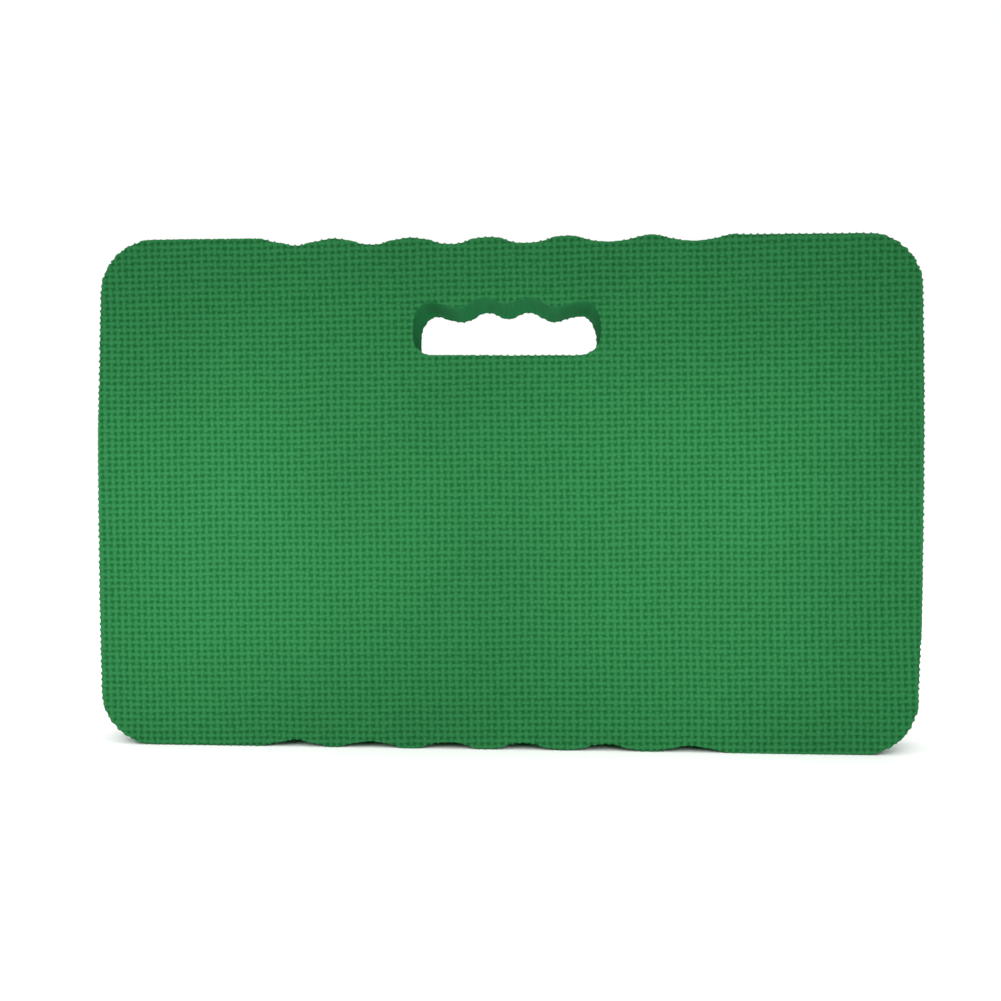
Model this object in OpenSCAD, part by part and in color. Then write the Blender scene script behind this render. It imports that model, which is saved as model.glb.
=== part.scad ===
// Kneeling pad of closed-cell foam. Two embossed face sheets are glued to a plain core sheet,
// and the stack is cut to one outline: waved long edges, slightly bowed ends, round corners,
// and a handle slot near the upper edge with recesses for the fingers.
// The pad stands on a long edge: X runs along it, Y through the thickness and Z up.
// The origin is the middle of the edge that it stands on. All sizes are in millimetres.

/* [Pad] */
// Length over the bowed ends
pad_length = 450; // [420:5:480]
// Height as the pad stands on a long edge
pad_height = 279.5; // [260:0.5:320]
// Radius of the four outer corners
corner_radius = 30; // [20:1:40]
// How far each end bows out at its middle
end_bow = 1.6; // [0:0.2:3]

/* [Layers] */
// Thickness of the whole pad
pad_thickness = 38; // [32:1:50]
// Thickness of each embossed face sheet
face_thickness = 10; // [6:0.5:12]
// Thickness of each film of glue between two sheets
glue_thickness = 0.3; // [0.2:0.1:0.5]
// How far each film of glue stops short of the cut edges
glue_setback = 0.5; // [0.3:0.1:1]

/* [Waved edges] */
// Depth of a hollow in a long edge
hollow_depth = 3.6; // [1:0.2:5]
// Distance from the middle of an outermost hollow to its straight land
hollow_run = 22; // [18:1:26]

/* [Handle slot] */
// Foam above the highest finger recess
grip_height = 33.2; // [28:0.2:40]
// Height of the slot up to the highest finger recess
slot_height = 31; // [28:0.5:38]
// Width of the slot
slot_width = 102; // [96:1:110]
// Sideways place of the slot's middle
slot_shift = 1.5; // [-5:0.5:5]
// Height of the rounding at each upper corner of the slot
slot_shoulder_height = 15; // [8:0.5:16]
// Radius of the slot's two lower corners
slot_foot_radius = 11; // [2:0.5:12]

/* [Hidden] */

// Middles of the hollows in a long edge, which are not quite evenly spaced
hollow_places = [-114, -72.5, -29, 11.5, 56.5, 102.5];

// Turning points of the slot's ceiling from its middle outwards: sideways place, and drop
// below the highest recess. They are the middle lobe, a recess, a lobe and the end recess.
ceiling_half = [[0, 3.4], [12, 0], [26.5, 5.4], [42.5, 2.2]];

// Straight pieces in a half wave, a round corner and a bowed end
wave_steps = 6;
corner_steps = 8;
end_steps = 8;

core_thickness = pad_thickness - 2 * face_thickness - 2 * glue_thickness;
front_y = -pad_thickness / 2;
front_glue_y = front_y + face_thickness;
core_y = front_glue_y + glue_thickness;
rear_glue_y = core_y + core_thickness;
rear_y = rear_glue_y + glue_thickness;
foam_green = [0.16, 0.47, 0.27];
glue_amber = [0.80, 0.72, 0.50];

last_hollow = len(hollow_places) - 1;
last_turn = len(ceiling_half) - 1;

// The same list from its other end
function reversed(list) = [for (i = [len(list) - 1 : -1 : 0]) list[i]];

// Points of an elliptical arc between two angles, with its radii along X and along Z
function arc(centre, radii, from, to) = [
    for (step = [0 : corner_steps])
        let (angle = from + (to - from) * step / corner_steps)
        centre + [radii.x * cos(angle), radii.y * sin(angle)]
];

// Points of a smooth wave whose turning points are given, each stretch half a cosine
function wave(turns) = [
    for (i = [0 : len(turns) - 2], step = [0 : wave_steps - 1])
        let (
            part = step / wave_steps,
            start = turns[i],
            rise = turns[i + 1] - start
        )
        [start.x + rise.x * part, start.y + rise.y * (1 - cos(180 * part)) / 2],
    turns[len(turns) - 1]
];

// Crest on the right of hollow i, where i is -1 for the crest before the first one
function crest_x(i) =
    i < 0 ? hollow_places[0] - hollow_run
    : i == last_hollow ? hollow_places[last_hollow] + hollow_run
    : (hollow_places[i] + hollow_places[i + 1]) / 2;

// A long edge from left to right: sideways place, and depth below the straight lands
function edge_points() = wave([
    [crest_x(-1), 0],
    for (i = [0 : last_hollow]) each [[hollow_places[i], hollow_depth], [crest_x(i), 0]]
]);

// The right end from its lower to its upper corner, bowed as a shallow parabola
function end_points(inset) =
    let (half = pad_height / 2 - corner_radius)
    [
        for (step = [1 : end_steps - 1])
            let (rise = 2 * step / end_steps - 1)
            [pad_length / 2 - inset - end_bow * rise * rise, pad_height / 2 + half * rise]
    ];

// The pad's outline, drawn in by inset all round
function pad_outline(inset) =
    let (
        corner_x = pad_length / 2 - end_bow - corner_radius,
        corner_top = pad_height - corner_radius,
        radii = (corner_radius - inset) * [1, 1],
        right_end = end_points(inset)
    )
    concat(
        arc([-corner_x, corner_radius], radii, 180, 270),
        [for (p = edge_points()) [p.x, inset + p.y]],
        arc([corner_x, corner_radius], radii, 270, 360),
        right_end,
        arc([corner_x, corner_top], radii, 0, 90),
        [for (p = reversed(edge_points())) [p.x, pad_height - inset - p.y]],
        arc([-corner_x, corner_top], radii, 90, 180),
        [for (p = reversed(right_end)) [-p.x, p.y]]
    );

// The slot's ceiling from left to right
function ceiling_points() =
    let (right_half = wave(ceiling_half))
    concat(
        [for (i = [len(right_half) - 1 : -1 : 1]) [-right_half[i].x, right_half[i].y]],
        right_half
    );

// The handle slot's outline, grown by inset all round
function slot_outline(inset) =
    let (
        ceiling_top = pad_height - grip_height,
        foot_x = slot_width / 2 - slot_foot_radius,
        foot_z = ceiling_top - slot_height + slot_foot_radius,
        foot_radii = (slot_foot_radius + inset) * [1, 1],
        end_x = ceiling_half[last_turn].x,
        shoulder_radii = [slot_width / 2 - end_x + inset, slot_shoulder_height + inset],
        shoulder_z = ceiling_top - ceiling_half[last_turn].y - slot_shoulder_height,
        middle = [slot_shift, 0]
    )
    concat(
        arc(middle + [-foot_x, foot_z], foot_radii, 180, 270),
        arc(middle + [foot_x, foot_z], foot_radii, 270, 360),
        arc(middle + [end_x, shoulder_z], shoulder_radii, 0, 90),
        [
            for (p = reversed(ceiling_points()))
                if (abs(p.x) < end_x) [slot_shift + p.x, ceiling_top + inset - p.y]
        ],
        arc(middle + [-end_x, shoulder_z], shoulder_radii, 90, 180)
    );

// One layer of the stack, from its front face at y
module layer(y, thickness, inset = 0) {
    translate([0, y + thickness, 0])
        rotate([90, 0, 0])
            linear_extrude(thickness)
                difference() {
                    polygon(pad_outline(inset));
                    polygon(slot_outline(inset));
                }
}

// Foam sheet with the embossed face that shows in front
module front_sheet() {
    color(foam_green) layer(front_y, face_thickness);
}

// Glue between the front sheet and the core
module front_glue_film() {
    color(glue_amber) layer(front_glue_y, glue_thickness, glue_setback);
}

// Plain thick sheet in the middle of the stack
module core_sheet() {
    color(foam_green) layer(core_y, core_thickness);
}

// Glue between the core and the rear sheet
module rear_glue_film() {
    color(glue_amber) layer(rear_glue_y, glue_thickness, glue_setback);
}

// Foam sheet with the embossed face at the back
module rear_sheet() {
    color(foam_green) layer(rear_y, face_thickness);
}

front_sheet();
front_glue_film();
core_sheet();
rear_glue_film();
rear_sheet();
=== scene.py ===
"""The looks of the foam kneeling pad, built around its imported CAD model.

Each foam sheet is made the way the real one is: a slab, with a weave pressed into its outer
side, is cut to the die's outline and loses the handle slot. The outlines come from the CAD
sheets. Lengths are in metres. X runs along the pad, Y through it from front to rear, Z up.
"""
import math
import bmesh
import bpy
import numpy as np
from mathutils import Matrix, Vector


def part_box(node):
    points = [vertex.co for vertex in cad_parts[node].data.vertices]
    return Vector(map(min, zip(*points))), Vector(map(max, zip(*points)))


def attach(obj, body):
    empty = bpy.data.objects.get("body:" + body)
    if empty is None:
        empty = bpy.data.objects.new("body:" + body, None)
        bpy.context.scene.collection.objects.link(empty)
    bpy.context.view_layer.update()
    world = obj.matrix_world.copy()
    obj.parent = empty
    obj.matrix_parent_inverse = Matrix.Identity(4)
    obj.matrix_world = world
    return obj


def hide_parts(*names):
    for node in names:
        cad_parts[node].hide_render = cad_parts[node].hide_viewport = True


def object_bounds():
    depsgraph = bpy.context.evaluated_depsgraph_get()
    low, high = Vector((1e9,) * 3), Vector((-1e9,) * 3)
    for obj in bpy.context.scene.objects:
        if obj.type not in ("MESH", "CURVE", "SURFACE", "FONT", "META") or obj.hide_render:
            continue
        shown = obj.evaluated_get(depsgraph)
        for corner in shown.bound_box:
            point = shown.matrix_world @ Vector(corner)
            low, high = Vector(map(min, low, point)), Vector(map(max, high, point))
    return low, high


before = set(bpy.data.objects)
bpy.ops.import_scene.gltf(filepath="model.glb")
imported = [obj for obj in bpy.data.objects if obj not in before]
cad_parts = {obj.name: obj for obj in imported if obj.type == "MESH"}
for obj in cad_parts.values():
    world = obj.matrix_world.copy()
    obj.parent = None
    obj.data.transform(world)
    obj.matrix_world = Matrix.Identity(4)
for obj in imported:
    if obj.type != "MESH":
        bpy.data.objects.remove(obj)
cad_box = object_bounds()

MM = 0.001
SEED = 7
HALF_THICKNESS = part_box("rear_sheet")[1].y
PAD_MIDDLE_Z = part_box("core_sheet")[1].z / 2

# The weave pressed into both faces
THREAD_GAP = np.array([3.73, 3.46]) * MM  # between upright threads, and between level ones
WEAVE_TURN = math.radians(0.9)            # turn of the weave from the pad's edges
WEAVE_DEPTH = 0.75 * MM                   # from a thread's crown to the bottom of a pit
PIT_START = (0.24, 0.31)                  # edge of a pit, in thread gaps from a thread
DIVE = 0.52                               # dip of a thread under the next, in weave depths
UPRIGHT_DROP = 0.02                       # upright threads' crowns under the level ones'
THREAD_HALF_WIDTH = (0.46, 0.45)          # of the upright and the level threads, in gaps
CROWN_SPREAD = 0.10                       # uneven height of the crowns, in weave depths
PIT_SPREAD = 0.16                         # uneven depth of the pits, in weave depths
WANDER = 0.05                             # drift of the threads, in thread gaps
JITTER = 0.035                            # uneven spacing of the threads, in thread gaps
REACH = (66, 46)                          # threads on each side of the middle

# The cut edges
OUTLINE_STEP = 1.6 * MM  # between two points of a smoothed outline
FLARE = 0.65 * MM        # how far the edge of a face stands out past the cut wall below it
DISH = 0.5 * MM          # further hollow of a cut wall halfway through the pad
LIP = 0.3 * MM           # how far the foam is drawn in at the very edge of a face
LIP_DEPTH = 0.25 * MM    # how deep under the face the wall stands out most
FLARE_DEPTH = 0.9 * MM   # how deep under the face the wall is back by most of the flare
FLARE_SHARE = 0.8        # the part of the flare it is back by there
WALL_START = 2.5 * MM    # depth where the even hollow of the wall starts, from face and seam
SEAM_LIP = 0.08 * MM     # how far the foam is drawn in at a glued seam
SEAM_DEPTH = 0.4 * MM    # how far from the seam that starts
WALL_STEP = 2.4 * MM     # between two levels of the core's wall
OVERCUT = 1.0 * MM       # how far a cutter runs past what it cuts
SHARP_ANGLE = math.radians(75)

# Colours, as linear red, green and blue
CROWN_GREEN = (0.0190, 0.155, 0.0465)
# The pits' colour is partly the denser pressed foam and partly painted shade of their hollows.
PIT_GREEN_PRESSED_AND_SHADED = (0.003, 0.091, 0.0190)
CUT_GREEN = (0.012, 0.173, 0.051)
GLUE_COLOUR = (0.010, 0.11, 0.034)
FLOOR_WHITE = (0.92, 0.92, 0.92)
SKIN_SPECULAR = 0.1
CUT_SPECULAR = 0.05

# Fine detail. A scale counts the grains in a metre. A height is in millimetres.
NOISE_RANGE = (0.3, 0.7)   # where most of a noise's values lie
SKIN_CLOUDS = 14.0
SKIN_MOTTLE = 420.0
SKIN_GRAIN = 2200.0
MOTTLE_SHIFT = 0.18        # how far the mottle shifts the colour from pit to crown
RELIEF_HEIGHT = 0.25
GRAIN_HEIGHT = 0.05
CUT_CLOUDS = 40.0
CELLS = 2600.0
CELL_HEIGHT = 0.05
DRAG_MARKS = 600.0
DRAG_STRETCH = (1.0, 0.06, 1.0)
DRAG_HEIGHT = 0.07
GLUE_BLOTCHES = 300.0
GLUE_HEIGHT = 0.05
FLOOR_CLOUDS = 3.0

# The camera, in front of the pad, a little right of its middle and below it
CAMERA_PLACE = (0.01815, -0.499, 0.1233)
CAMERA_PAN = math.radians(2.5)   # to the left
CAMERA_TILT = math.radians(-0.87)
CAMERA_ROLL = math.radians(0.22)
CAMERA_LENS = 31.75
CAMERA_SHIFT = (0.003, 0.037)

# Light
SKY_TOP = 1.96               # strength overhead
SKY_SIDE = 0.27              # strength low down
SKY_HEIGHTS = (0.3, 0.9)     # sines of the heights where the sky starts and ends brightening
SOFTBOXES = {"left_softbox": (-0.17, 0.34), "right_softbox": (0.12, 0.32)}  # x, watts
SOFTBOX_PLACE = (-0.20, 0.125)  # y and z
SOFTBOX_SIZE = 0.12
FLOOR_REACH = 6.0
FLOOR_GAP = 0.1 * MM         # between the floor and the pad


# ---------------------------------------------------------------- outlines

def outline_loops(node):
    """A CAD sheet's outer outline and its slot's outline, as arrays of (x, z) points."""
    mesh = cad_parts[node].data
    spots = [tuple(round(value, 7) for value in vertex.co) for vertex in mesh.vertices]
    front_y = min(spot[1] for spot in spots)
    edges = set()
    for face in mesh.polygons:
        corners = [spots[i] for i in face.vertices]
        if all(abs(corner[1] - front_y) < 1e-6 for corner in corners):
            edges.update(zip(corners, corners[1:] + corners[:1]))
    following = {start: end for start, end in edges if (end, start) not in edges}
    loops = []
    while following:
        spot = min(following)
        loop = []
        while spot in following:
            loop.append((spot[0], spot[2]))
            spot = following.pop(spot)
        loops.append(np.array(loop))
    return sorted(loops, key=lambda loop: -np.ptp(loop[:, 0]))


def smooth_loop(points):
    """The outline on a smooth curve through its points. Long straight stretches stay straight."""
    chord = np.roll(points, -1, axis=0) - points
    length = np.linalg.norm(chord, axis=1)
    ahead = chord / length[:, None]
    behind = np.roll(ahead, 1, axis=0)
    length_behind = np.roll(length, 1)
    tangent = ahead * length_behind[:, None] + behind * length[:, None]
    starts_straight = length > 2 * length_behind
    ends_straight = length_behind > 2 * length
    tangent[starts_straight] = ahead[starts_straight]
    tangent[ends_straight] = behind[ends_straight]
    tangent /= np.linalg.norm(tangent, axis=1)[:, None]
    stretches = []
    for i in range(len(points)):
        j = (i + 1) % len(points)
        count = max(1, round(length[i] / OUTLINE_STEP))
        t = (np.arange(count) / count)[:, None]
        blend = t * t * (3 - 2 * t)
        bend = t * (1 - t) * ((1 - t) * tangent[i] - t * tangent[j])
        stretches.append(points[i] + blend * chord[i] + length[i] * bend)
    return np.concatenate(stretches)


def outward_normals(loop):
    along = np.roll(loop, -1, axis=0) - np.roll(loop, 1, axis=0)
    normals = np.stack([along[:, 1], -along[:, 0]], axis=1)
    normals /= np.linalg.norm(normals, axis=1)[:, None]
    x, z = loop.T
    signed_area = np.sum(x * np.roll(z, -1) - z * np.roll(x, -1))
    return normals if signed_area > 0 else -normals


# ---------------------------------------------------------------- meshes

def new_object(name, points, faces):
    mesh = bpy.data.meshes.new(name)
    mesh.from_pydata(points, [], faces)
    work = bmesh.new()
    work.from_mesh(mesh)
    bmesh.ops.recalc_face_normals(work, faces=work.faces)
    work.to_mesh(mesh)
    work.free()
    piece = bpy.data.objects.new(name, mesh)
    bpy.context.scene.collection.objects.link(piece)
    return piece


def swept_solid(name, loop, levels):
    """A closed solid: the outline carried along Y. Each level is (y, growth of the outline)."""
    normals = outward_normals(loop)
    count = len(loop)
    rings = []
    for y, growth in levels:
        x, z = (loop + growth * normals).T
        rings.append(np.stack([x, np.full(count, y), z], axis=1))
    first, last = range(count), range(count * (len(levels) - 1), count * len(levels))
    faces = [tuple(first), tuple(last)]
    for base in range(0, count * (len(levels) - 1), count):
        for i in range(count):
            j = (i + 1) % count
            faces.append((base + i, base + j, base + count + j, base + count + i))
    return new_object(name, np.concatenate(rings), faces)


def cut(piece, tool, operation):
    """Cuts the piece with the tool, which is then removed."""
    step = piece.modifiers.new("cut", "BOOLEAN")
    step.operation = operation
    step.solver = "MANIFOLD"
    step.object = tool
    graph = bpy.context.evaluated_depsgraph_get()
    result = bpy.data.meshes.new_from_object(piece.evaluated_get(graph))
    piece.modifiers.remove(step)
    result.materials.clear()
    old = piece.data
    piece.data = result
    bpy.data.meshes.remove(old)
    bpy.data.objects.remove(tool)


# ---------------------------------------------------------------- the weave

class Weave:
    """The slightly uneven lattice of threads on one face. Lattice places count in threads."""

    def __init__(self, seed):
        draw = np.random.default_rng(seed)
        waves = 10
        self.waves = draw.normal(0, 1, (2, waves, 2)) / draw.uniform(2, 9, (2, waves, 1))
        self.phases = draw.uniform(0, 2 * math.pi, (2, waves))
        self.jitter = [draw.normal(0, JITTER, 2 * reach + 1) for reach in REACH]
        size = (2 * REACH[0] + 1, 2 * REACH[1] + 1)
        self.crowns = draw.uniform(0, CROWN_SPREAD, size)
        self.pits = draw.uniform(-PIT_SPREAD, PIT_SPREAD, size)

    def drift(self, places):
        """How far each lattice place is off its even spot, in thread gaps."""
        result = np.zeros_like(places)
        for axis in (0, 1):
            turns = places @ self.waves[axis].T + self.phases[axis]
            result[..., axis] = WANDER * np.sin(turns).sum(axis=-1) / 2
            threads = np.arange(-REACH[axis], REACH[axis] + 1)
            result[..., axis] += np.interp(places[..., axis], threads, self.jitter[axis])
        return result

    def to_pad(self, places):
        """(x, z) on the pad of each lattice place."""
        flat = (places + self.drift(places)) * THREAD_GAP
        return flat @ turn_matrix(WEAVE_TURN).T + (0, PAD_MIDDLE_Z)

    def from_pad(self, spots):
        """The lattice place of each (x, z) on the pad."""
        even = (spots - (0, PAD_MIDDLE_Z)) @ turn_matrix(-WEAVE_TURN).T / THREAD_GAP
        places = even.copy()
        for _ in range(8):
            places = even - self.drift(places)
        return places

    def depth(self, places):
        """How deep each mesh point lies under the crowns, in metres."""
        u, v = places[..., 0], places[..., 1]
        column, row = np.rint(u), np.rint(v)
        on_upright, on_level = np.abs(u - column) < 1e-6, np.abs(v - row) < 1e-6
        level = 1 - DIVE * (1 - np.cos(math.pi * row) * np.cos(math.pi * u)) / 2
        upright = 1 - DIVE * (1 + np.cos(math.pi * column) * np.cos(math.pi * v)) / 2
        upright -= UPRIGHT_DROP
        height = np.maximum(np.where(on_level, level, 0), np.where(on_upright, upright, 0))
        crossing = (column.astype(int) + REACH[0], row.astype(int) + REACH[1])
        pit = (np.floor(u).astype(int) + REACH[0], np.floor(v).astype(int) + REACH[1])
        in_pit = ~(on_upright | on_level)
        uneven = np.where(in_pit, self.pits[pit], self.crowns[crossing])
        return WEAVE_DEPTH * (1 - height + uneven)


def turn_matrix(angle):
    return np.array([[math.cos(angle), -math.sin(angle)], [math.sin(angle), math.cos(angle)]])


def mesh_lines(reach, pit_start):
    """Lattice places of the mesh lines across one direction: each thread and its pits' edges."""
    threads = np.arange(-reach, reach)
    lines = [threads, threads + pit_start, threads + 1 - pit_start]
    return np.stack(lines, axis=1).ravel()


def embossed_slab(name, weave, side, inner_y):
    """A slab with the weave on its outer side, at -Y or +Y, larger than the pad all round."""
    u, v = (mesh_lines(*pair) for pair in zip(REACH, PIT_START))
    places = np.stack(np.meshgrid(u, v, indexing="ij"), axis=-1)
    x, z = np.moveaxis(weave.to_pad(places), -1, 0)
    y = side * (HALF_THICKNESS - weave.depth(places))
    points = np.stack([x, y, z], axis=-1).reshape(-1, 3)
    index = np.arange(len(points)).reshape(len(u), len(v))
    corners = [index[:-1, :-1], index[1:, :-1], index[1:, 1:], index[:-1, 1:]]
    faces = np.stack(corners, axis=-1).reshape(-1, 4).tolist()
    rim = np.concatenate([index[:-1, 0], index[-1, :-1], index[:0:-1, -1], index[0, :0:-1]])
    inner = points[rim]
    inner[:, 1] = inner_y
    base = len(points)
    for i in range(len(rim)):
        j = (i + 1) % len(rim)
        faces.append((rim[i], rim[j], base + j, base + i))
    faces.append(tuple(range(base, base + len(rim))))
    return new_object(name, np.concatenate([points, inner]), faces)


# ---------------------------------------------------------------- the sheets

def dish(y):
    """How far a cut wall lies in from the edges of the two faces."""
    return FLARE + DISH * (1 - (y / HALF_THICKNESS) ** 2)


def wall_levels(y_low, y_high):
    """Levels along the core's wall, drawn in a little at both seams."""
    count = round((y_high - y_low) / WALL_STEP)
    inner = [y_low + (y_high - y_low) * i / count for i in range(1, count)]
    inner = [y_low + SEAM_DEPTH, *inner, y_high - SEAM_DEPTH]
    levels = [(y, dish(y)) for y in inner]
    return [(y_low, dish(y_low) + SEAM_LIP), *levels, (y_high, dish(y_high) + SEAM_LIP)]


def face_levels(side, inner_y):
    """Levels of a face sheet's wall: past the face, round its flared edge, in to the seam."""
    seam = abs(inner_y)
    edge = [(-OVERCUT, LIP + OVERCUT), (0.0, LIP), (LIP_DEPTH, 0.0)]
    edge.append((FLARE_DEPTH, FLARE_SHARE * FLARE))
    levels = [(HALF_THICKNESS - depth, drawn) for depth, drawn in edge]
    wall = [*np.linspace(HALF_THICKNESS - WALL_START, seam + WALL_START, 3), seam + SEAM_DEPTH]
    levels += [(y, dish(y)) for y in wall]
    levels.append((seam, dish(seam) + SEAM_LIP))
    return [(side * y, drawn) for y, drawn in levels]


def cut_to_shape(piece, levels, loops):
    """Cuts a slab to the pad's outline, then cuts the handle slot out of it."""
    outer, slot = loops
    cut(piece, swept_solid("die", outer, [(y, -drawn) for y, drawn in levels]), "INTERSECT")
    cut_slot(piece, levels, slot)


def cut_slot(piece, levels, slot):
    past_start = 2 * levels[0][0] - levels[1][0]
    past_end = 2 * levels[-1][0] - levels[-2][0]
    hole = [(past_start, levels[0][1]), *levels, (past_end, levels[-1][1])]
    cut(piece, swept_solid("punch", slot, hole), "DIFFERENCE")


def smooth_with_sharp_corners(piece):
    piece.data.shade_smooth()
    piece.data.set_sharp_from_angle(angle=SHARP_ANGLE)


def store_weave_places(piece, weave):
    """Gives each point its place on the weave's lattice, for the material to follow."""
    mesh = piece.data
    spots = np.empty(len(mesh.vertices) * 3)
    mesh.vertices.foreach_get("co", spots)
    spots = spots.reshape(-1, 3)
    places = np.zeros_like(spots)
    places[:, :2] = weave.from_pad(spots[:, [0, 2]])
    attribute = mesh.attributes.new("weave", "FLOAT_VECTOR", "POINT")
    attribute.data.foreach_set("vector", places.ravel())


def give_materials(piece, side, skin, cut_foam):
    """The skin on the embossed side, and cut foam on the walls and the glued side."""
    mesh = piece.data
    mesh.materials.append(skin)
    mesh.materials.append(cut_foam)
    for face in mesh.polygons:
        near_face = HALF_THICKNESS - abs(face.center.y) < 2 * WEAVE_DEPTH
        face.material_index = 0 if near_face and side * face.normal.y > 0.3 else 1


def face_sheet(name, side, seed, skin, cut_foam):
    node_low, node_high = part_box(name)
    inner_y = node_high.y if side < 0 else node_low.y
    weave = Weave(seed)
    piece = embossed_slab(name + "_foam", weave, side, inner_y - side * OVERCUT)
    cut_to_shape(piece, face_levels(side, inner_y), sheet_loops(name))
    give_materials(piece, side, skin, cut_foam)
    store_weave_places(piece, weave)
    finish_piece(piece, name)


def core_sheet(name, cut_foam):
    low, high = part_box(name)
    outer, slot = sheet_loops(name)
    levels = wall_levels(low.y, high.y)
    piece = swept_solid(name + "_foam", outer, [(y, -drawn) for y, drawn in levels])
    cut_slot(piece, levels, slot)
    piece.data.materials.append(cut_foam)
    finish_piece(piece, name)


def glue_film(name, glue):
    """The thin film in a seam, a little back from the hollow of the cut wall."""
    low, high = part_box(name)
    outer, slot = sheet_loops(name)
    back = dish((low.y + high.y) / 2)
    levels = [(low.y, back), (high.y, back)]
    piece = swept_solid(name + "_dried", outer, [(y, -drawn) for y, drawn in levels])
    cut_slot(piece, levels, slot)
    piece.data.materials.append(glue)
    finish_piece(piece, name)


def sheet_loops(name):
    return [smooth_loop(loop) for loop in outline_loops(name)]


def finish_piece(piece, node):
    smooth_with_sharp_corners(piece)
    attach(piece, "root")
    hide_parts(node)


# ---------------------------------------------------------------- materials

def wire(tree, kind, inputs, **settings):
    """Adds a shader node. Each input is a value, or a socket to link."""
    node = tree.nodes.new("ShaderNode" + kind)
    for key, value in settings.items():
        setattr(node, key, value)
    for key, value in inputs.items():
        if isinstance(value, bpy.types.NodeSocket):
            tree.links.new(value, node.inputs[key])
        else:
            node.inputs[key].default_value = value
    return node


def math_node(tree, operation, *values):
    return wire(tree, "Math", dict(enumerate(values)), operation=operation).outputs[0]


def ramp_between(tree, value, low, high, to_low=0.0, to_high=1.0):
    """A smooth step of the value, from to_low at low to to_high at high."""
    inputs = {"Value": value, "From Min": low, "From Max": high}
    inputs |= {"To Min": to_low, "To Max": to_high}
    step = wire(tree, "MapRange", inputs, interpolation_type="SMOOTHSTEP")
    return step.outputs["Result"]


def spread(tree, value, low, high):
    """A noise's usual range carried to the range from low to high."""
    return ramp_between(tree, value, *NOISE_RANGE, low, high)


def noise(tree, place, scale, detail=2.0):
    """Noise about 0.5 whose grain is about 1 / scale metres."""
    inputs = {"Vector": place, "Scale": scale, "Detail": detail}
    return wire(tree, "TexNoise", inputs).outputs["Fac"]


def mixed(tree, share, first, second):
    node = wire(tree, "Mix", {"Factor": share}, data_type="RGBA", clamp_factor=True)
    for key, value in (("A", first), ("B", second)):
        socket = next(s for s in node.inputs if s.name == key and s.type == "RGBA")
        if isinstance(value, bpy.types.NodeSocket):
            tree.links.new(value, socket)
        else:
            socket.default_value = (*value, 1.0)
    return next(s for s in node.outputs if s.type == "RGBA")


def scaled_colour(tree, colour, factor):
    """The colour made lighter or darker by a factor."""
    node = wire(tree, "VectorMath", {0: colour, "Scale": factor}, operation="SCALE")
    return node.outputs["Vector"]


def new_material(name):
    material = bpy.data.materials.new(name)
    material.use_nodes = True
    tree = material.node_tree
    tree.nodes.clear()
    surface = wire(tree, "BsdfPrincipled", {})
    wire(tree, "OutputMaterial", {"Surface": surface.outputs[0]})
    place = wire(tree, "TexCoord", {}).outputs["Object"]
    return material, tree, surface, place


def foam_bump(tree, height):
    """The normal of a surface raised by the height, in millimetres."""
    return wire(tree, "Bump", {"Height": height, "Distance": MM}).outputs["Normal"]


def thread_height(tree, along, across, half_width, over, drop):
    """Height of one set of threads, 1 on a crown. Places along and across them are in threads."""
    nearest = math_node(tree, "ROUND", across)
    off_middle = math_node(tree, "ABSOLUTE", math_node(tree, "SUBTRACT", across, nearest))
    share = math_node(tree, "DIVIDE", off_middle, half_width)
    fall = math_node(tree, "MULTIPLY", share, share)
    turns = [math_node(tree, "MULTIPLY", value, math.pi) for value in (along, nearest)]
    wave = math_node(tree, "MULTIPLY", *[math_node(tree, "COSINE", turn) for turn in turns])
    rise = math_node(tree, "MULTIPLY_ADD", wave, over * DIVE / 2, 1 - DIVE / 2 - drop)
    return math_node(tree, "SUBTRACT", rise, fall)


def woven_relief(tree):
    """Height of the weave, from 0 in the pits to 1 on the crowns of the level threads."""
    lattice = wire(tree, "Attribute", {}, attribute_name="weave").outputs["Vector"]
    split = wire(tree, "SeparateXYZ", {"Vector": lattice})
    u, v = split.outputs["X"], split.outputs["Y"]
    upright = thread_height(tree, v, u, THREAD_HALF_WIDTH[0], -1, UPRIGHT_DROP)
    level = thread_height(tree, u, v, THREAD_HALF_WIDTH[1], 1, 0.0)
    return math_node(tree, "MAXIMUM", upright, level)


def embossed_skin():
    """Matte green foam skin, darker in the pits: partly pressed foam, partly painted shade."""
    material, tree, surface, place = new_material("embossed_skin")
    clouds = noise(tree, place, SKIN_CLOUDS, 3.0)
    mottle = noise(tree, place, SKIN_MOTTLE)
    grain = noise(tree, place, SKIN_GRAIN)
    relief = woven_relief(tree)
    shift = ramp_between(tree, mottle, 0.25, 0.75, -MOTTLE_SHIFT, MOTTLE_SHIFT)
    # The crown colour's share falls in the pits and on the threads' sides: painted shade there,
    # besides the pressed foam's darker tone.
    share = ramp_between(tree, math_node(tree, "ADD", relief, shift), 0.05, 0.95)
    colour = mixed(tree, share, PIT_GREEN_PRESSED_AND_SHADED, CROWN_GREEN)
    cloud_shade = spread(tree, clouds, 0.95, 1.03)
    shade = math_node(tree, "ADD", cloud_shade, spread(tree, grain, -0.08, 0.08))
    tree.links.new(scaled_colour(tree, colour, shade), surface.inputs["Base Color"])
    tree.links.new(spread(tree, mottle, 0.55, 0.7), surface.inputs["Roughness"])
    surface.inputs["Specular IOR Level"].default_value = SKIN_SPECULAR
    fine = math_node(tree, "MULTIPLY", grain, GRAIN_HEIGHT)
    height = math_node(tree, "MULTIPLY_ADD", relief, RELIEF_HEIGHT, fine)
    tree.links.new(foam_bump(tree, height), surface.inputs["Normal"])
    return material


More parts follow.
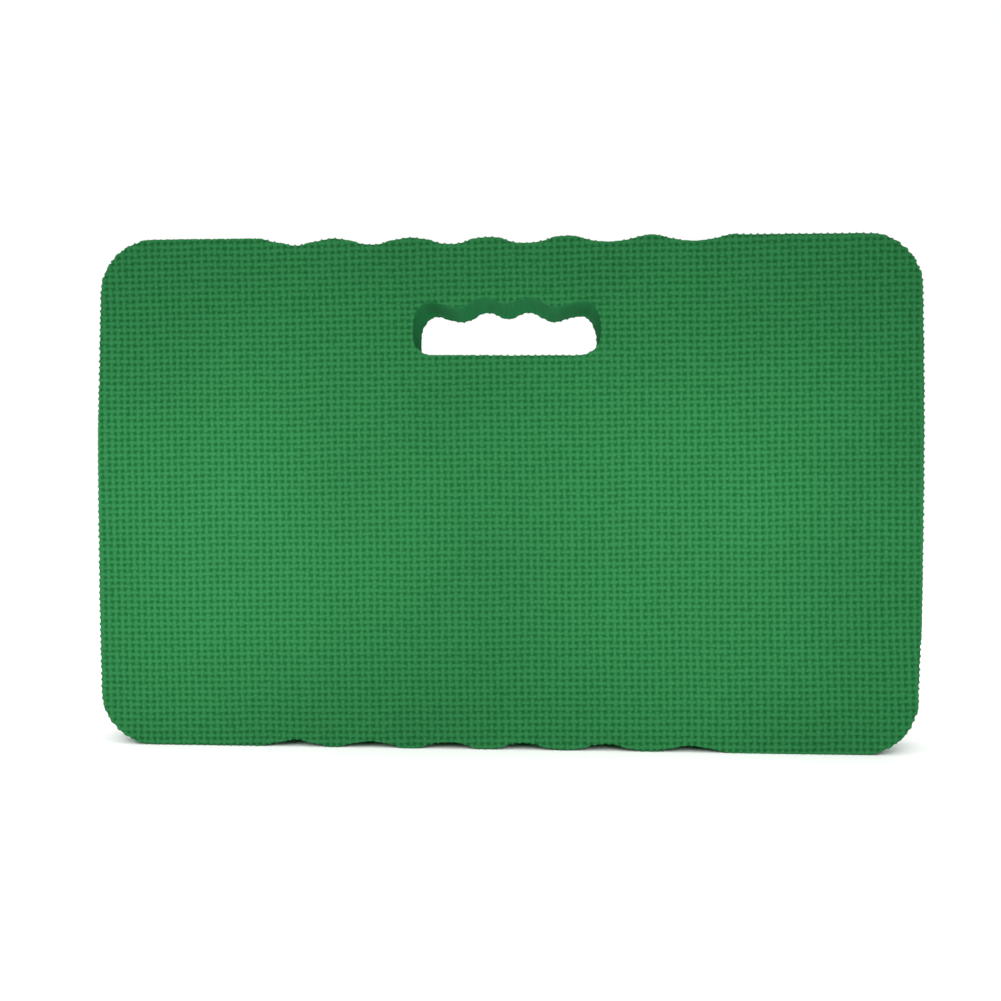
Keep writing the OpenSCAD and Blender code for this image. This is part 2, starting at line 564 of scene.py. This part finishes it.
def cut_foam_surface():
    """The cut face of closed-cell foam: fine cells, and faint drag marks of the blade."""
    material, tree, surface, place = new_material("cut_foam")
    cells = wire(tree, "TexVoronoi", {"Vector": place, "Scale": CELLS}).outputs["Distance"]
    stretched = wire(tree, "Mapping", {"Vector": place, "Scale": DRAG_STRETCH})
    drag = noise(tree, stretched.outputs["Vector"], DRAG_MARKS)
    clouds = noise(tree, place, CUT_CLOUDS, 3.0)
    cloud_shade = spread(tree, clouds, 0.92, 1.05)
    shade = math_node(tree, "ADD", cloud_shade, spread(tree, drag, -0.06, 0.06))
    tree.links.new(scaled_colour(tree, CUT_GREEN, shade), surface.inputs["Base Color"])
    tree.links.new(spread(tree, clouds, 0.85, 0.95), surface.inputs["Roughness"])
    surface.inputs["Specular IOR Level"].default_value = CUT_SPECULAR
    marks = math_node(tree, "MULTIPLY", drag, DRAG_HEIGHT)
    height = math_node(tree, "MULTIPLY_ADD", cells, CELL_HEIGHT, marks)
    tree.links.new(foam_bump(tree, height), surface.inputs["Normal"])
    return material


def dried_glue():
    """A thin film of contact adhesive, dull and slightly green from the foam on both sides."""
    material, tree, surface, place = new_material("dried_glue")
    blotches = noise(tree, place, GLUE_BLOTCHES, 3.0)
    shade = spread(tree, blotches, 0.8, 1.1)
    tree.links.new(scaled_colour(tree, GLUE_COLOUR, shade), surface.inputs["Base Color"])
    tree.links.new(spread(tree, blotches, 0.4, 0.6), surface.inputs["Roughness"])
    surface.inputs["Specular IOR Level"].default_value = SKIN_SPECULAR
    height = math_node(tree, "MULTIPLY", blotches, GLUE_HEIGHT)
    tree.links.new(foam_bump(tree, height), surface.inputs["Normal"])
    return material


def pale_floor():
    material, tree, surface, place = new_material("pale_floor")
    shade = spread(tree, noise(tree, place, FLOOR_CLOUDS, 3.0), 0.98, 1.0)
    tree.links.new(scaled_colour(tree, FLOOR_WHITE, shade), surface.inputs["Base Color"])
    surface.inputs["Roughness"].default_value = 0.9
    surface.inputs["Specular IOR Level"].default_value = 0.1
    return material


# ---------------------------------------------------------------- the studio

def add_camera():
    data = bpy.data.cameras.new("camera")
    data.lens = CAMERA_LENS
    data.shift_x, data.shift_y = CAMERA_SHIFT
    data.clip_start = 0.01
    camera = bpy.data.objects.new("camera", data)
    bpy.context.scene.collection.objects.link(camera)
    turn = (
        Matrix.Rotation(CAMERA_PAN, 4, "Z")
        @ Matrix.Rotation(math.radians(90) + CAMERA_TILT, 4, "X")
        @ Matrix.Rotation(CAMERA_ROLL, 4, "Z")
    )
    camera.matrix_world = Matrix.Translation(CAMERA_PLACE) @ turn
    bpy.context.scene.camera = camera


def add_softbox(name, x, watts):
    """A square lamp that shines straight back at the pad's front."""
    y, z = SOFTBOX_PLACE
    data = bpy.data.lights.new(name, "AREA")
    data.size = SOFTBOX_SIZE
    data.energy = watts
    light = bpy.data.objects.new(name, data)
    bpy.context.scene.collection.objects.link(light)
    light.visible_camera = False
    light.location = (x, y, z)
    light.rotation_euler = (math.radians(90), 0.0, 0.0)


def add_sky():
    """White all round to the eye. It lights like a large overhead softbox in a pale room."""
    world = bpy.data.worlds.new("studio")
    bpy.context.scene.world = world
    world.use_nodes = True
    tree = world.node_tree
    tree.nodes.clear()
    way = wire(tree, "TexCoord", {}).outputs["Generated"]
    height = wire(tree, "SeparateXYZ", {"Vector": way}).outputs["Z"]
    strength = ramp_between(tree, height, *SKY_HEIGHTS, SKY_SIDE, SKY_TOP)
    seen = wire(tree, "LightPath", {}).outputs["Is Camera Ray"]
    white = (1.0, 1.0, 1.0, 1.0)
    lighting = wire(tree, "Background", {"Color": white, "Strength": strength}).outputs[0]
    backdrop = wire(tree, "Background", {"Color": white, "Strength": 1.0}).outputs[0]
    either = wire(tree, "MixShader", {0: seen, 1: lighting, 2: backdrop})
    wire(tree, "OutputWorld", {"Surface": either.outputs[0]})


def add_floor():
    low = cad_box[0][2] - FLOOR_GAP
    signs = [(-1, -1), (1, -1), (1, 1), (-1, 1)]
    corners = [(FLOOR_REACH * x, FLOOR_REACH * y, low) for x, y in signs]
    floor = new_object("floor", corners, [(0, 1, 2, 3)])
    floor.data.materials.append(pale_floor())


def build_pad():
    skin = embossed_skin()
    cut_foam = cut_foam_surface()
    glue = dried_glue()
    face_sheet("front_sheet", -1, SEED, skin, cut_foam)
    face_sheet("rear_sheet", 1, SEED + 1, skin, cut_foam)
    core_sheet("core_sheet", cut_foam)
    glue_film("front_glue_film", glue)
    glue_film("rear_glue_film", glue)


add_camera()
add_sky()
for name, (x, watts) in SOFTBOXES.items():
    add_softbox(name, x, watts)
add_floor()
build_pad()
bpy.context.scene.view_settings.view_transform = "Standard"
